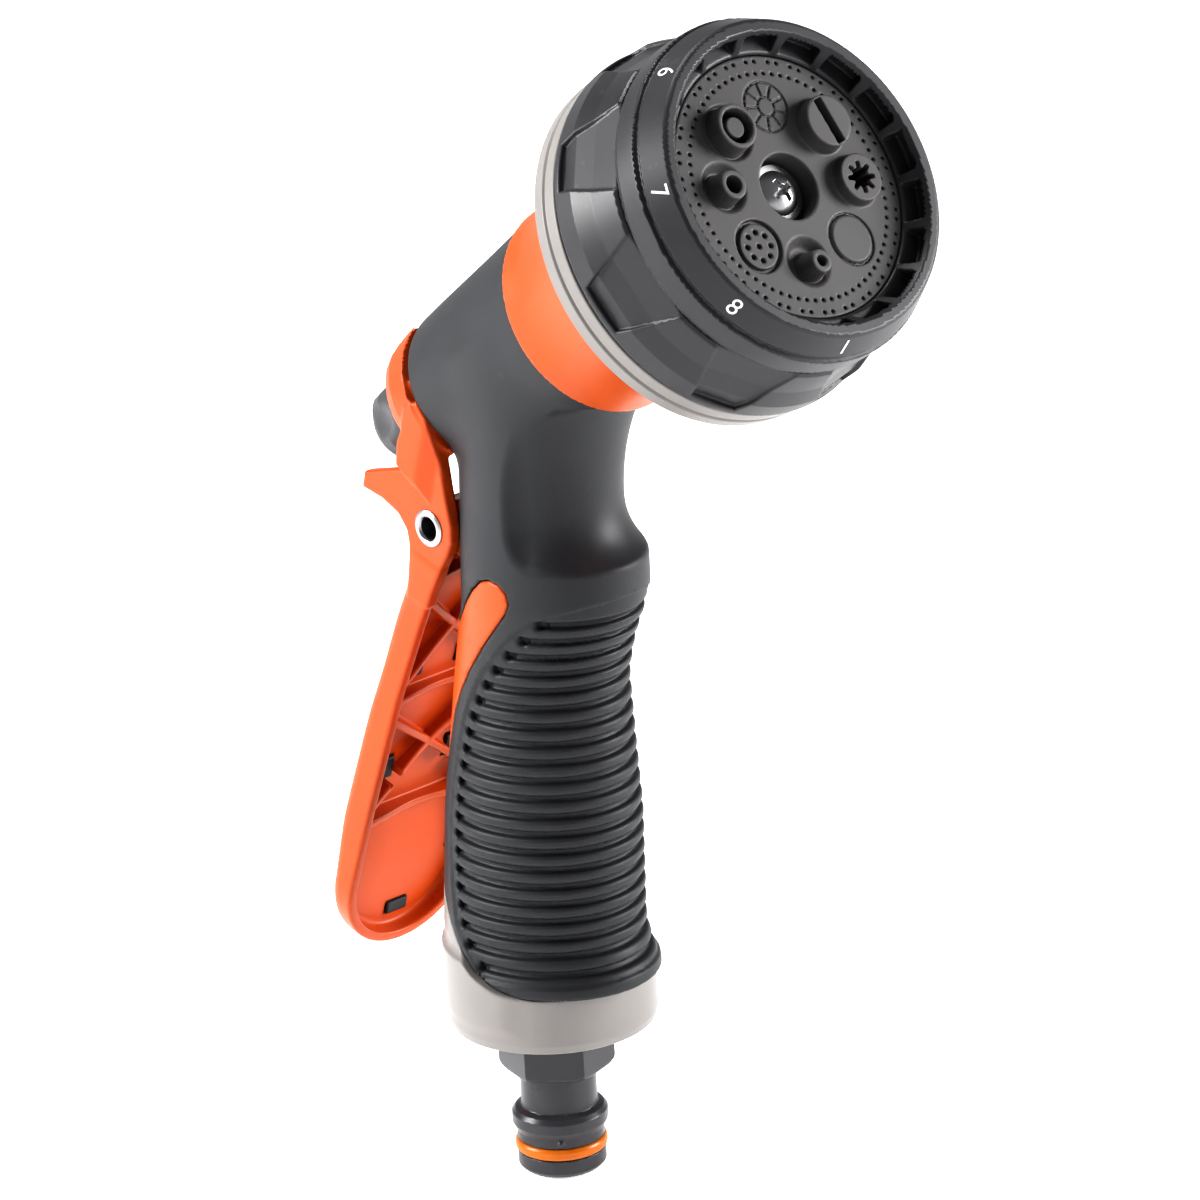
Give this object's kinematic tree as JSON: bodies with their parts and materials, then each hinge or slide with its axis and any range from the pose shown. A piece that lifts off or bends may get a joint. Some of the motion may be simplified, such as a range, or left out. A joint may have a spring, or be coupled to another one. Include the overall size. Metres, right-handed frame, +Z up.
{
  "type": "hose spray nozzle",
  "caption": "Pistol-grip garden hose nozzle with a turning spray dial, squeeze trigger, flow knob and snap-in hose plug.",
  "frame": {"origin": "centre of the open end of the hose plug, at the foot of the handle", "axes": "+Z up along the handle and the plug's axis, +X forward, the side the spray leaves on, +Y to the left of someone looking forward"},
  "size_m": [0.133, 0.0654, 0.2204],
  "materials": {
    "orange_plastic": "moulded orange plastic, satin gloss",
    "soft_grip": "soft dark grey overmoulded rubber, matte",
    "light_plastic": "light warm grey plastic, satin",
    "plug_plastic": "dark grey plastic",
    "orange_rubber": "orange rubber ring",
    "seal_rubber": "black rubber",
    "ivory_plastic": "unpainted engineering plastic",
    "steel": "bright steel",
    "knob_plastic": "dark grey plastic",
    "brass": "turned brass",
    "dial_plastic": "dark grey satin plastic",
    "face_plastic": "mid grey matt plastic"
  },
  "bodies": {
    "body": {"body_core": "orange_plastic", "grip_sleeve": "soft_grip", "base_collar": "light_plastic", "hose_plug": "plug_plastic", "plug_o_ring": "orange_rubber", "plug_gasket": "seal_rubber", "back_collar": "light_plastic", "valve_cup": "ivory_plastic", "cup_gasket": "seal_rubber", "valve_seat": "ivory_plastic", "seat_o_ring": "seal_rubber", "stem_gland": "ivory_plastic", "gland_o_ring": "seal_rubber", "return_spring": "steel", "port_seal": "seal_rubber", "port_spring": "steel", "detent_ball": "steel", "detent_spring": "steel", "centre_screw": "steel", "screw_washer": "steel"},
    "trigger": {"trigger_lever": "orange_plastic", "trigger_pad": "soft_grip", "pivot_pin": "steel"},
    "stem": {"valve_stem": "steel", "valve_piston": "ivory_plastic", "piston_seal": "seal_rubber"},
    "knob": {"flow_knob": "knob_plastic", "knob_insert": "brass"},
    "dial": {"grip_ring": "dial_plastic", "rim_ring": "dial_plastic", "spray_face": "face_plastic", "face_gasket": "seal_rubber", "mode_plate": "dial_plastic", "cone_core": "face_plastic", "centre_rose": "face_plastic", "jet_insert": "face_plastic", "mist_insert": "face_plastic"}
  },
  "joints": [
    {"name": "dial_turn", "type": "hinge", "parent": "body", "child": "dial", "pos_m": [0, 0, 0.1528], "axis": [0.8526, 0, 0.5225], "continuous": true},
    {"name": "trigger_squeeze", "type": "hinge", "parent": "body", "child": "trigger", "pos_m": [-0.01167, 0, 0.12208], "axis": [0, -1, 0], "range_deg": [0, 12], "stiffness_Nm_per_rad": 2, "springref_deg": -17.19},
    {"name": "stem_slide", "type": "slide", "parent": "body", "child": "stem", "axis": [-0.8526, 0, -0.5225], "range_m": [0, 0.0054], "deforming": ["return_spring"]},
    {"name": "knob_turn", "type": "hinge", "parent": "stem", "child": "knob", "pos_m": [0, 0, 0.1528], "axis": [0.8526, 0, 0.5225], "range_deg": [0, 720]}
  ],
  "couplings": [
    {"joint": "stem_slide", "follows": "trigger_squeeze", "m_per_rad": 0.025}
  ]
}
